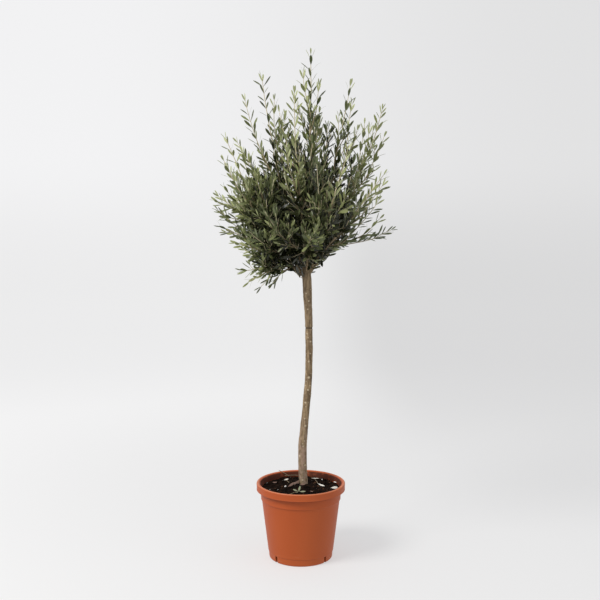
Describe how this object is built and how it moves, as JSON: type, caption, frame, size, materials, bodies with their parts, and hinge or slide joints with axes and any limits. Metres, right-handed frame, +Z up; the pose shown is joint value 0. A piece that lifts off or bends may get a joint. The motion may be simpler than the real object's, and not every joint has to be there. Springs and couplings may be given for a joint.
{
  "type": "potted olive tree",
  "caption": "Young olive tree trained as a standard: slim bare stem, bushy head of narrow grey-green leaves, in a round terracotta-coloured plastic nursery pot.",
  "frame": {"origin": "centre of the pot's flat underside, which is the plane that the part stands on", "axes": "+Z up along the pot's axis to the crown's top, -Y the tree's front, +X its right as seen from the front"},
  "size_m": [0.5057, 0.4579, 1.366],
  "materials": {
    "pot_plastic": "satin moulded plastic, terracotta colour",
    "compost": "moist dark potting compost, rough",
    "bark": "smooth grey-brown young bark",
    "foliage": "dull grey-green leaves, silvery below"
  },
  "bodies": {
    "root": {"bough_back_left": "bark", "bough_back_right": "bark", "bough_back_tall": "bark", "bough_drooping_left": "bark", "bough_front_left": "bark", "bough_front_right": "bark", "bough_front_tall": "bark", "bough_high_left": "bark", "bough_high_right": "bark", "bough_left": "bark", "bough_low_back": "bark", "bough_low_front": "bark", "bough_low_left": "bark", "bough_low_right": "bark", "bough_right": "bark", "bough_right_tall": "bark", "compost": "compost", "foliage_back_left": "foliage", "foliage_back_right": "foliage", "foliage_back_tall": "foliage", "foliage_drooping_left": "foliage", "foliage_front_left": "foliage", "foliage_front_right": "foliage", "foliage_front_tall": "foliage", "foliage_high_left": "foliage", "foliage_high_right": "foliage", "foliage_left": "foliage", "foliage_low_back": "foliage", "foliage_low_front": "foliage", "foliage_low_left": "foliage", "foliage_low_right": "foliage", "foliage_right": "foliage", "foliage_right_tall": "foliage", "foliage_top": "foliage", "pot": "pot_plastic", "trunk": "bark"}
  },
  "joints": []
}
